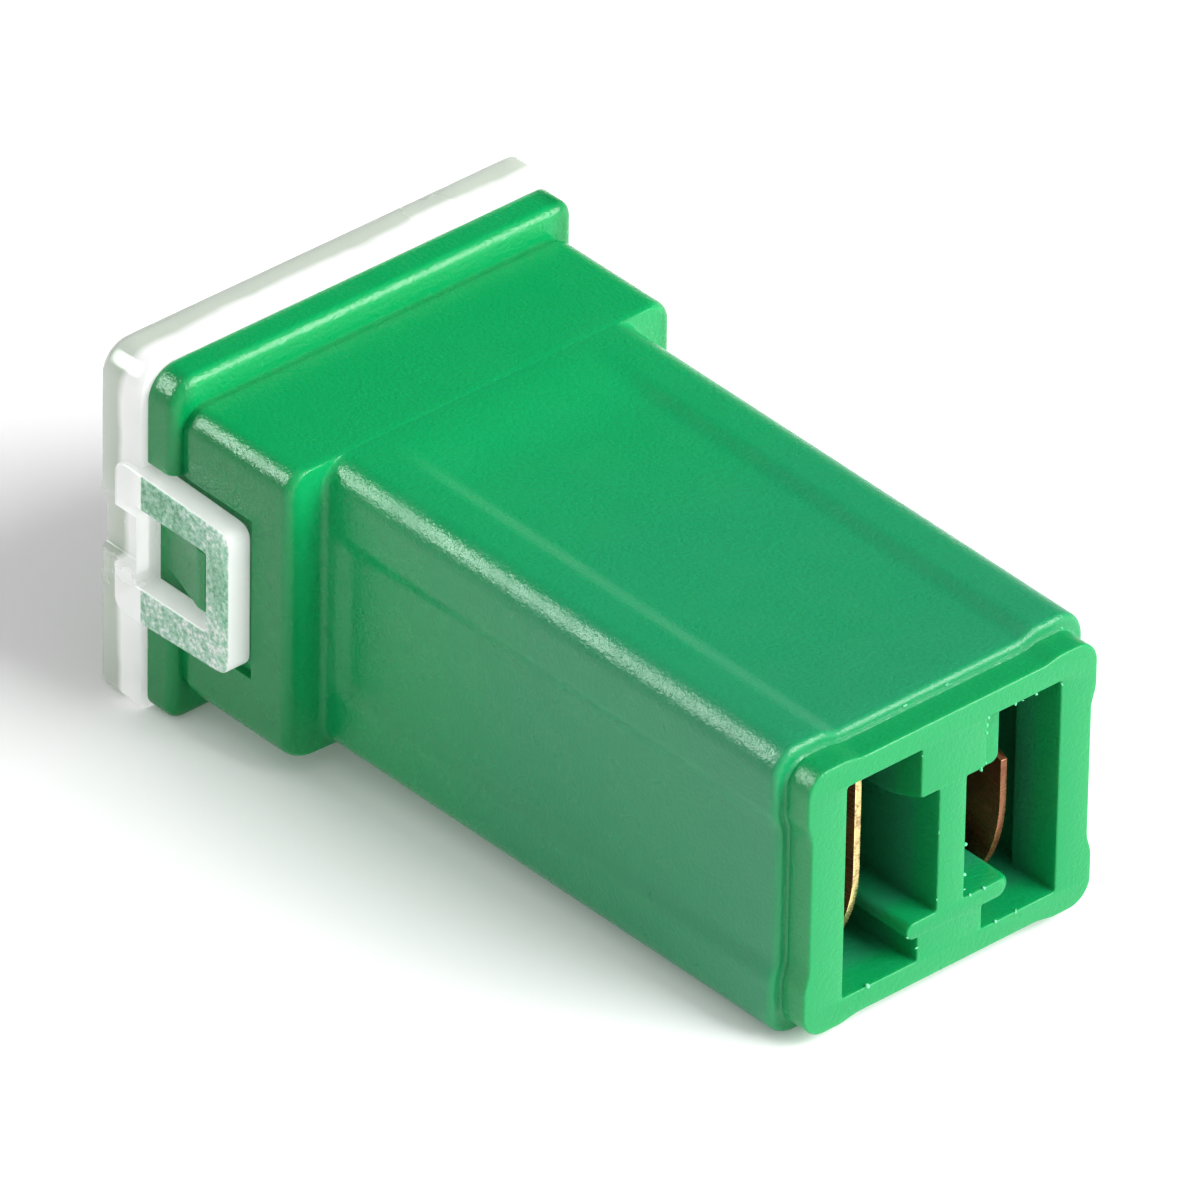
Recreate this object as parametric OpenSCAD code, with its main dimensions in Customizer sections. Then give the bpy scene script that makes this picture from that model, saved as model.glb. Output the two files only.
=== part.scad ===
// Fusible link, female cartridge type: moulded housing, clear latched cover, stamped fuse element.
// The fuse lies on its wide side. X runs along it with the mating end at +X, Z is up.
// All sizes are in millimetres.

/* [Plug body] */
// Length of the plug body between shoulder and end rim
body_l = 18.8; // [16.5:0.1:24]
// Width of the plug body
body_w = 11.6; // [10.8:0.1:13]
// Thickness of the plug body and of the shoulder
body_t = 9.7; // [9.2:0.1:10.4]
// Radius of the long edges of the plug body
body_r = 0.95; // [0.4:0.05:1.2]
// Depth of the shallow panel in the middle of each face
panel_d = 0.22; // [0.05:0.01:0.3]
// Width of the panels on the wide faces
panel_w = 6.8; // [3:0.1:7.4]
// Height of the panels on the narrow faces
panel_h = 4.5; // [2:0.1:5.6]
// Width of the soft slope at the border of a panel
panel_slope = 0.4; // [0.1:0.05:0.6]

/* [End rim] */
// Height of the rim round the receptacles
rim_h = 1; // [0.4:0.1:1.5]
// Distance the rim is set in from the plug body
rim_inset = 0.4; // [0.1:0.02:0.45]
// Length of the narrow mouth before the cavities widen
mouth_l = 1.8; // [1.2:0.1:2.2]

/* [Shoulder and flange] */
// Width of the shoulder
shoulder_w = 14.3; // [13.6:0.1:16]
// Length of the shoulder
shoulder_l = 4.55; // [4.3:0.05:6]
// Radius of the long edges of the shoulder
shoulder_r = 0.75; // [0.3:0.05:1.2]
// Overhang of the flange on the narrow sides
flange_over_w = 0.3; // [0.1:0.05:0.6]
// Overhang of the flange on the wide sides
flange_over_t = 0.85; // [0.3:0.05:1.2]
// Length of the flange
flange_l = 1.15; // [0.8:0.05:1.5]
// Radius of the one rounder corner of flange and cover
key_r = 1; // [0.5:0.1:1.6]
// Radius of the other flange corners
flange_r = 0.45; // [0.35:0.05:1]
// Rounding of the outer edges at the front of a step
edge_r = 0.3; // [0.1:0.05:0.4]

/* [Cavities] */
// Wall of the chamber under the cover, narrow sides
chamber_wall = 0.92; // [0.7:0.02:1.1]
// Wall of the chamber under the cover, wide sides
chamber_wall_t = 0.8; // [0.6:0.05:0.9]
// Thickness of the floor between the step and the chamber
floor_t = 0.9; // [0.6:0.1:1.5]
// Height of the two receptacle cavities
cavity_h = 7.1; // [6.7:0.05:7.4]
// Thickness of the web between the cavities
web_t = 1; // [0.6:0.1:1.6]
// Width of the thick ends of the web
web_end_w = 2.4; // [1.8:0.1:3]
// Height of the thick upper end of the web
web_upper_h = 1.62; // [1:0.02:1.9]
// Height of the thick lower end of the web
web_lower_h = 0.9; // [0.4:0.05:1]
// Reach of the keying rib beside the upper end, from the middle
rib_reach = 2.1; // [1.6:0.05:2.3]
// Height of the keying rib
rib_h = 2.05; // [1:0.05:2.4]
// Distance the keying rib stands back from the mating face
rib_back = 0.5; // [0.2:0.1:1.5]
// Reach of the support shelf on the side without the keying rib
shelf_reach = 1.6; // [1.3:0.05:2.3]
// Reach of the support shelf on the side of the keying rib
shelf_reach_key = 2.3; // [1.3:0.05:2.3]
// Thickness of the support shelves
shelf_t = 0.55; // [0.3:0.05:0.8]
// Distance from the middle down to the top of the shelves
shelf_z = 2.2; // [2:0.05:2.4]
// Radius of the rounded shelf and rib edges
guide_r = 0.24; // [0.05:0.01:0.26]
// Length of the lead-in under the upper end of the web
lead_l = 2; // [1:0.1:3]
// Height the lead-in takes off
lead_h = 0.6; // [0.1:0.05:0.8]
// Corner radius of the chamber
chamber_r = 0.5; // [0.2:0.05:0.8]

/* [Clear cover] */
// Overall thickness of the cover above the flange
cover_h = 1.85; // [1.4:0.05:2.6]
// Thickness of the window plate of the cover
plate_t = 0.85; // [0.5:0.05:1.2]
// Overhang of the cover over the flange, narrow sides
cover_over_w = 0.3; // [0.1:0.05:0.5]
// Overhang of the cover over the flange, wide sides
cover_over_t = 0.1; // [0:0.05:0.4]
// Wall of the cover rim
cover_wall = 1.35; // [1:0.05:1.5]
// Rounding of the outer cover edge
cover_edge = 0.35; // [0.1:0.05:0.45]
// Radius of the other cover corners
cover_r = 0.45; // [0.45:0.05:1]
// Length of the skirt that centres the cover in the chamber
skirt_l = 0.9; // [0.4:0.1:1.4]
// Wall of the centring skirt
skirt_wall = 0.6; // [0.4:0.05:0.7]
// Thickness of the two pads that hold the element down
pad_t = 0.9; // [0.6:0.1:1.1]
// Height of the pads
pad_h = 3.4; // [2:0.1:3.8]
// Distance of a pad from the strip beside it
pad_gap = 0.15; // [0.05:0.05:0.4]
// Corner radius of the pocket behind the window plate
pocket_r = 0.6; // [0.3:0.05:1]

/* [Latches] */
// Length of a latch loop below the cover rim
loop_l = 4.05; // [3.6:0.05:4.2]
// Height of a latch loop at its root
loop_root_h = 5.1; // [4.4:0.05:5.4]
// Height of a latch loop at its tip
loop_tip_h = 4.75; // [4:0.05:5]
// Corner radius at the tip of a loop
loop_r = 0.45; // [0.2:0.05:0.9]
// Height of the window in a latch loop
window_h = 2.65; // [2.3:0.05:3]
// Width of the bar that closes a latch loop
bar_w = 1; // [0.7:0.05:1.2]
// Distance the loops stand proud of the cover rim
loop_proud = 0.15; // [0:0.05:0.4]
// Depth of the seat the latch loops lie in
seat_d = 0.22; // [0.1:0.02:0.24]
// Height of a catch
catch_h = 2; // [1.2:0.05:2.1]
// Length of the catch ramp
catch_l = 2.4; // [1.4:0.05:2.45]
// Distance the catch stands above the seat
catch_out = 0.66; // [0.4:0.02:0.7]
// Length of the flat crest of the catch
crest_l = 0.3; // [0.1:0.05:0.6]
// Slope of the face that holds the latch bar
catch_rake = 0.1; // [0:0.05:0.3]
// Height of the relief groove across the cover side
groove_h = 2; // [1:0.1:2.2]
// Depth of the relief groove across the cover side
groove_d = 0.35; // [0.15:0.05:0.5]

/* [Fuse element] */
// Sheet thickness of the element
sheet_t = 0.4; // [0.3:0.05:0.5]
// Thickness of the mating tab
tab_t = 0.8; // [0.6:0.05:0.8]
// Centre distance of the mating tabs
tab_pitch = 7.1; // [6.9:0.05:7.4]
// Spring opening of a receptacle before the tab is pushed in
grip = 0.7; // [0.5:0.02:0.78]
// Clearance between the tab and the straight root of a spring
root_free = 0.1; // [0.04:0.02:0.2]
// Distance from the spring tip to the contact crest
crest_back = 2.5; // [1.5:0.1:3.5]
// Length over which a spring swings in from its root to the crest
swing_l = 2.6; // [1.5:0.1:4]
// Distance of the spring tips from the mating face
tip_back = 0.9; // [0.6:0.1:1.6]
// Flare of the spring tips
tip_flare = 0.4; // [0.1:0.05:0.5]
// Thickness of a spring at its coined tip
tip_t = 0.25; // [0.15:0.05:0.3]
// Clearance between the lower edge of a spring and the cavity
spring_clear = 0.35; // [0.1:0.05:0.8]
// Distance below the middle where the front of a spring starts to curve back
curve_low = 0.3; // [0:0.1:1]
// Length of a receptacle
receptacle_l = 11; // [8:0.5:13]
// Large radius at the lower front of a spring
tip_r = 5; // [3.4:0.1:6]
// Gap between an outer leaf and the mouth in front of it
leaf_gap = 0.6; // [0.2:0.1:1]
// Height of the strips between receptacle and bridge
strip_h = 4.4; // [3.6:0.1:5]
// Inside radius of the bends
bend_r = 0.25; // [0.1:0.05:0.35]
// Distance of the bridge from the cover seat
bridge_x = 2.2; // [2:0.05:2.5]
// Width of the fusing necks
neck_w = 0.95; // [0.5:0.05:1.1]
// Offset of the necks from the middle
neck_z = 0.95; // [0.8:0.05:1.1]
// Length of the middle land of the bridge
land_h = 3; // [2.6:0.1:3.6]
// Width of the middle land of the bridge
land_w = 2.1; // [1.8:0.1:2.3]
// Corner radius of the middle land
land_r = 0.4; // [0.2:0.05:0.6]
// Width of the wide foot at each end of the bridge
foot_w = 1.2; // [0.8:0.1:1.4]

/* [Tin pellet] */
// Diameter of the pellet shank
pellet_d = 1.1; // [0.7:0.05:1.3]
// Diameter of the pressed pellet heads
pellet_head_d = 1.7; // [1.4:0.05:1.8]
// Height of a pressed pellet head
pellet_head_h = 0.35; // [0.2:0.05:0.5]

/* [Fits] */
// Clearance between the element and the cavity walls
cavity_fit = 0.05; // [0.02:0.01:0.1]
// Clearance between tab and mouth wall
mouth_fit = 0.05; // [0.02:0.01:0.15]
// Clearance between skirt and chamber wall
skirt_fit = 0.08; // [0.04:0.01:0.15]
// Clearance round a latch loop in its seat
loop_fit = 0.12; // [0.06:0.01:0.2]
// Clearance between latch loop and seat floor
loop_gap = 0.03; // [0.01:0.01:0.06]
// Play between catch and latch bar
latch_play = 0.2; // [0.05:0.05:0.3]

/* [Hidden] */
$fn = 48;
eps = 0.01;
// Cuts run past the faces they open by this much, and joined blocks run into each other.
over = 1;
// Positions along X are measured from the cover seat, which is the back of the flange.
step_x = flange_l + shoulder_l;
body_end = step_x + body_l;
housing_l = body_end + rim_h;
total_l = cover_h + housing_l;
flange_w = shoulder_w + 2 * flange_over_w;
flange_t = body_t + 2 * flange_over_t;
cover_w = flange_w + 2 * cover_over_w;
cover_t = flange_t + 2 * cover_over_t;
loop_out = cover_w / 2 + loop_proud;
// Latch loops, their seats and the chamber between them.
seat_y = shoulder_w / 2 - seat_d;
loop_in = seat_y + loop_gap;
window_end = loop_l - bar_w;
catch_end = window_end - latch_play;
chamber_w = 2 * (seat_y - chamber_wall);
chamber_t = body_t - 2 * chamber_wall_t;
floor_x = step_x - floor_t;
// Receptacles: the outer leaf lies on the cavity wall, the spring faces it.
leaf_in = tab_pitch / 2 + tab_t / 2;
leaf_out = leaf_in + sheet_t;
cavity_out = leaf_out + cavity_fit;
mouth_out = leaf_in + mouth_fit;
spring_y = leaf_in - tab_t - root_free;
contact_y = leaf_in - grip;
tip_x = housing_l - tip_back;
contact_x = tip_x - crest_back;
channel_end = contact_x - swing_l;
receptacle_x = tip_x - receptacle_l;
leaf_top = cavity_h / 2 - cavity_fit;
leaf_bottom = spring_clear - cavity_h / 2;
outer_leaf_x = housing_l - mouth_l - leaf_gap;
ear_h = chamber_t - 2 * cavity_fit;
bend_out = bend_r + sheet_t;

// Rectangle with rounded corners, built from plain shapes so that the arcs stay true arcs.
module rounded(w, h, r) {
    square([w - 2 * r, h], center = true);
    square([w, h - 2 * r], center = true);
    for (x = [-1, 1], y = [-1, 1]) {
        translate([x * (w / 2 - r), y * (h / 2 - r)]) circle(r);
    }
}

// Rounded rectangle with one rounder corner, on the left at the top.
module keyed(w, h, r) {
    difference() {
        rounded(w, h, r);
        translate([key_r - w / 2, h / 2 - key_r]) difference() {
            translate([-key_r - over, 0]) square(key_r + over);
            circle(key_r);
        }
    }
}

// Rectangle from x = 0 to l whose two far corners are rounded.
module nose(l, w, r) {
    translate([0, -w / 2]) square([l - r, w]);
    translate([0, r - w / 2]) square([l, w - 2 * r]);
    for (y = [-1, 1]) {
        translate([l - r, y * (w / 2 - r)]) circle(r);
    }
}

// Extrudes a cross-section drawn as (Y, Z) along X.
module along_x(l) {
    rotate([90, 0, 90]) linear_extrude(l) children();
}

// Extrudes an outline drawn as (X, Z) along Y, centred.
module along_y(w) {
    rotate([90, 0, 0]) linear_extrude(w, center = true) children();
}

// Bar along X with the cross-section of its children and rounded edges at its front.
module soft_bar(l, w, t, e) {
    intersection() {
        along_x(l) children();
        along_y(w + over) nose(l, t, e);
        linear_extrude(t + over, center = true) nose(l, w, e);
    }
}

// Shallow trapezoid that a panel takes out of one side of a cross-section.
module panel_cut(w) {
    polygon([
        [-w / 2 - panel_slope, panel_d],
        [-w / 2 - panel_slope, 0],
        [-w / 2, -panel_d],
        [w / 2, -panel_d],
        [w / 2 + panel_slope, 0],
        [w / 2 + panel_slope, panel_d]
    ]);
}

// Cross-section of the plug body: four corner lobes with a shallow panel on every side.
module lobed(w, t, r) {
    difference() {
        rounded(w, t, r);
        for (s = [0, 1]) {
            rotate(180 * s) translate([0, t / 2]) panel_cut(panel_w);
            rotate(90 + 180 * s) translate([0, w / 2]) panel_cut(panel_h);
        }
    }
}

// Cross-section of the web that parts the two cavities.
module web_section() {
    low = cavity_h / 2 - web_lower_h;
    high = cavity_h / 2 - web_upper_h;
    square([web_t, cavity_h + 2 * over], center = true);
    translate([-web_end_w / 2, high]) square([web_end_w, web_upper_h + over]);
    translate([-web_end_w / 2, -low - web_lower_h - over]) square([web_end_w, web_lower_h + over]);
}

// Cross-section of the support shelves.
module shelf_section() {
    w = shelf_reach + shelf_reach_key;
    translate([w / 2 - shelf_reach, -shelf_z - shelf_t / 2]) rounded(w, shelf_t, guide_r);
}

// Cross-section of the keying rib.
module rib_section() {
    h = rib_h + over;
    translate([rib_reach / 2, cavity_h / 2 - rib_h + h / 2]) rounded(rib_reach, h, guide_r);
}

// The upper end of the web grows deeper behind the mouth.
module lead_in() {
    z = cavity_h / 2 - web_upper_h;
    along_y(web_end_w) polygon([
        [floor_x - over, z + eps],
        [housing_l, z + eps],
        [housing_l, z],
        [housing_l - lead_l / 3, z - lead_h / 2],
        [housing_l - lead_l, z - lead_h],
        [floor_x - over, z - lead_h]
    ]);
}

module receptacle_space() {
    // The web, its shelves and the keying rib stay standing in the cut.
    x0 = floor_x - over / 2;
    difference() {
        translate([x0, -mouth_out, -cavity_h / 2]) cube([housing_l - x0 + over, 2 * mouth_out, cavity_h]);
        translate([floor_x - over, 0, 0]) {
            along_x(housing_l - floor_x + 3 * over) web_section();
            along_x(housing_l - floor_x + over) shelf_section();
            along_x(housing_l - floor_x + over - rib_back) rib_section();
        }
        lead_in();
    }
    // Behind the mouth the cavities widen for the outer leaves.
    for (s = [0, 1]) {
        mirror([0, s, 0]) translate([x0, mouth_out - over, -cavity_h / 2]) {
            cube([housing_l - mouth_l - x0, cavity_out - mouth_out + over, cavity_h]);
        }
    }
}

module latch_seat() {
    h = loop_root_h + 2 * loop_fit;
    out = flange_w / 2 - seat_y + over;
    translate([-over, seat_y, -h / 2]) cube([loop_l + loop_fit + over, out, h]);
}

module catch() {
    translate([0, 0, -catch_h / 2]) linear_extrude(catch_h) {
        polygon([
            [catch_end - catch_l, seat_y - eps],
            [catch_end - catch_rake - crest_l, seat_y + catch_out],
            [catch_end - catch_rake, seat_y + catch_out],
            [catch_end, seat_y - eps]
        ]);
    }
}

module housing() {
    color([0.1, 0.62, 0.32]) {
        difference() {
            union() {
                soft_bar(flange_l, flange_w, flange_t, edge_r) keyed(flange_w, flange_t, flange_r);
                soft_bar(step_x, shoulder_w, body_t, edge_r) rounded(shoulder_w, body_t, shoulder_r);
                translate([step_x - over, 0, 0]) along_x(body_l + over) lobed(body_w, body_t, body_r);
                translate([body_end - over, 0, 0]) along_x(rim_h + over) {
                    lobed(body_w - 2 * rim_inset, body_t - 2 * rim_inset, body_r - rim_inset / 2);
                }
            }
            translate([-over, 0, 0]) along_x(floor_x + over) rounded(chamber_w, chamber_t, chamber_r);
            receptacle_space();
            for (s = [0, 1]) {
                mirror([0, s, 0]) latch_seat();
            }
        }
        for (s = [0, 1]) {
            mirror([0, s, 0]) catch();
        }
    }
}

// Outline of a latch loop seen from the side, as (X, Z).
module loop_outline() {
    difference() {
        union() {
            polygon([
                [-cover_h / 2, -loop_root_h / 2],
                [0, -loop_root_h / 2],
                [loop_l - loop_r, -loop_tip_h / 2],
                [loop_l - loop_r, loop_tip_h / 2],
                [0, loop_root_h / 2],
                [-cover_h / 2, loop_root_h / 2]
            ]);
            translate([loop_l - loop_r * 2, loop_r - loop_tip_h / 2]) {
                square([loop_r * 2, loop_tip_h - 2 * loop_r]);
            }
            for (s = [-1, 1]) {
                translate([loop_l - loop_r, s * (loop_tip_h / 2 - loop_r)]) circle(loop_r);
            }
        }
        translate([0, -window_h / 2]) square([window_end, window_h]);
    }
}

module cover() {
    color([0.92, 0.96, 0.94, 0.35]) {
        difference() {
            union() {
                mirror([1, 0, 0]) soft_bar(cover_h, cover_w, cover_t, cover_edge) {
                    keyed(cover_w, cover_t, cover_r);
                }
                for (s = [0, 1]) {
                    mirror([0, s, 0]) translate([0, (loop_in + loop_out) / 2, 0]) {
                        along_y(loop_out - loop_in) loop_outline();
                    }
                }
            }
            // Pocket behind the window plate.
            translate([plate_t - cover_h, 0, 0]) along_x(cover_h) {
                rounded(cover_w - 2 * cover_wall, cover_t - 2 * cover_wall, pocket_r);
            }
            for (s = [0, 1]) {
                mirror([0, s, 0]) translate([-cover_h - over, cover_w / 2 - groove_d, -groove_h / 2]) {
                    cube([cover_h + over, loop_proud + groove_d + over, groove_h]);
                }
            }
        }
        cover_skirt();
        cover_pads();
    }
}

// Skirt that centres the cover in the chamber.
module cover_skirt() {
    w = chamber_w - 2 * skirt_fit;
    t = chamber_t - 2 * skirt_fit;
    translate([plate_t - cover_h - eps, 0, 0]) along_x(cover_h - plate_t + skirt_l + eps) {
        difference() {
            rounded(w, t, chamber_r);
            rounded(w - 2 * skirt_wall, t - 2 * skirt_wall, chamber_r / 2);
        }
    }
}

// Pads that press the element onto its seat.
module cover_pads() {
    for (s = [-1, 1]) {
        translate([plate_t - cover_h - eps, s * (leaf_in - pad_gap - pad_t / 2) - pad_t / 2, -pad_h / 2]) {
            cube([bridge_x - plate_t + cover_h + eps, pad_t, pad_h]);
        }
    }
}

// Spring of one receptacle: flared tip, contact crest and straight root, seen from above.
module spring_path() {
    t = sheet_t;
    tip_y = contact_y - tip_flare;
    polygon([
        [receptacle_x, spring_y],
        [channel_end, spring_y],
        [contact_x, contact_y],
        [tip_x, tip_y],
        [tip_x, tip_y - tip_t],
        [contact_x, contact_y - t],
        [channel_end, spring_y - t],
        [receptacle_x, spring_y - t]
    ]);
}

// Side outline of the spring, as (X, Z), with the large lower corner at its tip.
module spring_outline() {
    l = tip_x - receptacle_x;
    translate([receptacle_x, 0]) {
        translate([0, -curve_low]) square([l, leaf_top - bend_out + curve_low]);
        translate([0, leaf_bottom]) square([l - tip_r, -leaf_bottom]);
        intersection() {
            translate([l - tip_r, -curve_low]) circle(tip_r);
            translate([0, leaf_bottom]) square([l, -leaf_bottom]);
        }
    }
}

// Cross-section of the closed back of a receptacle, as (Y, Z): a folded channel open below.
module channel_section() {
    y0 = spring_y - sheet_t;
    w = leaf_out - y0;
    h = leaf_top - leaf_bottom;
    translate([y0 + w / 2, leaf_bottom]) difference() {
        translate([0, h / 2]) {
            square([w, h - 2 * bend_out], center = true);
            translate([-w / 2, -h / 2]) square([w, bend_out + eps]);
            translate([0, h / 2 - bend_out]) square([w - 2 * bend_out, 2 * bend_out], center = true);
            for (s = [-1, 1]) {
                translate([s * (w / 2 - bend_out), h / 2 - bend_out]) circle(bend_out);
            }
        }
        translate([0, (h - sheet_t - over) / 2]) rounded(w - 2 * sheet_t, h - sheet_t + over, bend_r);
    }
}

module receptacle() {
    intersection() {
        linear_extrude(cavity_h, center = true) spring_path();
        along_y(3 * tab_pitch) spring_outline();
    }
    translate([receptacle_x, 0, 0]) along_x(channel_end - receptacle_x) channel_section();
    // The outer leaf runs a little further towards the mouth.
    translate([channel_end - sheet_t, leaf_in, leaf_bottom]) {
        cube([outer_leaf_x - channel_end + sheet_t, sheet_t, leaf_top - bend_out - leaf_bottom]);
    }
}

// Strip, bend and foot of the bridge, seen from above.
module strip_path() {
    x0 = bridge_x + bend_out;
    y0 = leaf_out - bend_out;
    translate([x0, leaf_in]) square([receptacle_x - x0 + sheet_t, sheet_t]);
    translate([bridge_x, y0 - foot_w]) square([sheet_t, foot_w]);
    translate([x0, y0]) intersection() {
        difference() {
            circle(bend_out);
            circle(bend_r);
        }
        translate([-2 * bend_out, 0]) square(2 * bend_out);
    }
}

// The strip carries the ears that rest on the chamber floor.
module strip() {
    x0 = bridge_x + bend_out;
    linear_extrude(strip_h, center = true) strip_path();
    translate([x0, leaf_in, -ear_h / 2]) cube([floor_x - x0, sheet_t, ear_h]);
}

// Middle land of the bridge and its two offset necks, as (Y, Z).
module bridge_section() {
    y1 = land_w / 2 - land_r;
    y2 = leaf_out - bend_out - foot_w / 2;
    difference() {
        union() {
            rounded(land_w, land_h, land_r);
            for (s = [0, 1]) {
                rotate(180 * s) translate([y1, -neck_z - neck_w / 2]) square([y2 - y1, neck_w]);
            }
        }
        circle(d = pellet_d);
    }
}

module fuse_element() {
    color([0.78, 0.5, 0.25]) {
        for (s = [0, 1]) {
            mirror([0, s, 0]) {
                receptacle();
                strip();
            }
        }
        translate([bridge_x, 0, 0]) along_x(sheet_t) bridge_section();
    }
}

// Tin pellet pressed through the middle land like a rivet.
module tin_pellet() {
    color([0.8, 0.81, 0.82]) {
        translate([bridge_x - pellet_head_h, 0, 0]) along_x(pellet_head_h) circle(d = pellet_head_d);
        translate([bridge_x - eps, 0, 0]) along_x(sheet_t + 2 * eps) circle(d = pellet_d);
        translate([bridge_x + sheet_t, 0, 0]) along_x(pellet_head_h) circle(d = pellet_head_d);
    }
}

// Puts the middle of the fuse over the origin and its lowest side on the ground.
module place() {
    translate([cover_h - total_l / 2, 0, cover_t / 2]) children();
}

place() housing();
place() cover();
place() fuse_element();
place() tin_pellet();
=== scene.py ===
# %% [markdown]
# # A cartridge fusible link, dressed for a portrait
#
# The solid model of the fuse is already built: a moulded housing, a clear cover, a stamped fuse
# element and a tin pellet. This lesson gives each of them the soft edges, grain and wear that a
# moulded part has under studio light. Everything is in metres in the solid model's own frame.

# %% Load the frame
import math

import bmesh
import bpy
from mathutils import Matrix, Vector
from mathutils.geometry import tessellate_polygon


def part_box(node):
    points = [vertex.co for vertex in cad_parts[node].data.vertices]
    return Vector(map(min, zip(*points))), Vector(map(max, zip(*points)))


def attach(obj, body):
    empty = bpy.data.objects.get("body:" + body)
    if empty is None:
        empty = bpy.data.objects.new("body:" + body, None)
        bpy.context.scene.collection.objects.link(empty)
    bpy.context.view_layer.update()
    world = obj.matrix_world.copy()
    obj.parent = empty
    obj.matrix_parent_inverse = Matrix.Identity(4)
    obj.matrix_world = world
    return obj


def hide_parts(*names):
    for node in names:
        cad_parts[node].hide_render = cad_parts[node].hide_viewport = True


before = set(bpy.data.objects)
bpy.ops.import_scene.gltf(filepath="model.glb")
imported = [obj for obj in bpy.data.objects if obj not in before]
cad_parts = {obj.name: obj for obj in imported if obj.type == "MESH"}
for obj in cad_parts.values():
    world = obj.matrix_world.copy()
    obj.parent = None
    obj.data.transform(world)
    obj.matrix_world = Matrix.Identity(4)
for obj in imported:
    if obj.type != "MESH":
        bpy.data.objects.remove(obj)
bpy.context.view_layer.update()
MM = 0.001
housing_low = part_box("housing")[0]
cover_low, cover_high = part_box("cover")
SEAT_X = housing_low.x / MM
AXIS_Z = (cover_low.z + cover_high.z) / 2 / MM
print("cover seat at x", round(SEAT_X, 3), "mm, axis", round(AXIS_Z, 3), "mm above the ground")

# %% [markdown]
# ## The camera
#
# A camera can be set by eye, or worked out from the outline of the object. Here it was worked out:
# the corners of the housing were found in the photo, and one position explains them all. It stands
# more than half a metre away with a very long lens, so parallel edges stay nearly parallel.

# %% Place the camera
TURN = math.radians(48.052)
RISE = math.radians(34.366)
ROLL = math.radians(0.998)
CAMERA_AT = Vector((347.56, -313.28, 320.83 + AXIS_Z)) * MM
SENSOR, LENS = 36, 608.9


def camera_axes(turn, rise, roll):
    """Right, up and backward directions of a camera with that heading, height angle and roll."""
    right = Vector((math.cos(turn), math.sin(turn), 0))
    up = Vector((-math.sin(turn) * math.sin(rise), math.cos(turn) * math.sin(rise), math.cos(rise)))
    back = right.cross(up)
    return (
        math.cos(roll) * right + math.sin(roll) * up,
        -math.sin(roll) * right + math.cos(roll) * up,
        back,
    )


right, up, back = camera_axes(TURN, RISE, ROLL)
camera_data = bpy.data.cameras.new("portrait_camera")
camera_data.sensor_width = SENSOR
camera_data.lens = LENS
camera_data.clip_start = 0.01
camera_data.clip_end = 20
camera = bpy.data.objects.new("portrait_camera", camera_data)
bpy.context.scene.collection.objects.link(camera)
turned = Matrix((right, up, back)).transposed()
camera.matrix_world = Matrix.Translation(CAMERA_AT) @ turned.to_4x4()
bpy.context.scene.camera = camera
print("camera at", [round(v, 4) for v in camera.location])

# %% [markdown]
# ## Small helpers
#
# Every piece ends as a plain mesh whose place is in its points. Sizes below are in millimetres from
# the cover seat and the fuse's axis, and one function moves them into the frame.


# %% Helpers for meshes
def at(x, y, z):
    """A point in the frame from millimetres along the fuse, across it and above its axis."""
    return Vector(((x + SEAT_X) * MM, y * MM, (z + AXIS_Z) * MM))


def mesh_object(name, points, faces, material=None):
    """A new object made of those points and faces, with its normals turned outwards."""
    mesh = bpy.data.meshes.new(name)
    mesh.from_pydata([tuple(p) for p in points], [], faces)
    piece = bpy.data.objects.new(name, mesh)
    bpy.context.scene.collection.objects.link(piece)
    bm = bmesh.new()
    bm.from_mesh(mesh)
    bmesh.ops.remove_doubles(bm, verts=bm.verts, dist=1e-7)
    bmesh.ops.recalc_face_normals(bm, faces=bm.faces)
    bm.to_mesh(mesh)
    bm.free()
    if material:
        mesh.materials.append(material)
    return piece


def smooth(piece, degrees=35):
    """Smooth shading with sharp edges where faces meet at more than that angle."""
    piece.data.shade_smooth()
    piece.data.set_sharp_from_angle(angle=math.radians(degrees))


def settle(piece):
    """Turns what the modifiers make into the piece's own plain mesh and removes them."""
    graph = bpy.context.evaluated_depsgraph_get()
    done = bpy.data.meshes.new_from_object(piece.evaluated_get(graph), depsgraph=graph)
    piece.modifiers.clear()
    piece.data = done
    return piece


def soften(piece, width, segments):
    """Rounds the sharp edges of a piece by that many millimetres."""
    bevel = piece.modifiers.new("soft edges", "BEVEL")
    bevel.width = width * MM
    bevel.segments = segments
    bevel.limit_method = "ANGLE"
    bevel.angle_limit = math.radians(50)
    return settle(piece)


def join_solids(piece, other, operation):
    """Adds another closed mesh to a piece, or takes it away."""
    cut = piece.modifiers.new("solids", "BOOLEAN")
    cut.operation = operation
    cut.solver = "EXACT"
    cut.object = other
    settle(piece)
    bpy.data.objects.remove(other)
    return piece


# %% [markdown]
# ## Materials
#
# All finishes are built from nodes that read Object coordinates, so they stay put when the camera
# moves. Image textures would be quicker, but they show their grid up close and need unwrapping.
# Adding nodes one by one is long-winded, so a small helper adds a node and links it in one call.


# %% Node helpers
def node_maker(tree):
    """A function that adds a node to the tree, with its settings, and its inputs set or linked."""
    def node(kind, inputs=None, **settings):
        made = tree.nodes.new(kind)
        for key, value in settings.items():
            setattr(made, key, value)
        for key, value in (inputs or {}).items():
            if isinstance(value, bpy.types.NodeSocket):
                tree.links.new(value, made.inputs[key])
            else:
                made.inputs[key].default_value = value
        return made

    return node


def new_material(name):
    """An empty node material with its output, and a function that adds nodes to it."""
    material = bpy.data.materials.new(name)
    material.use_nodes = True
    material.node_tree.nodes.clear()
    node = node_maker(material.node_tree)
    return material, node, node("ShaderNodeOutputMaterial")


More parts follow.
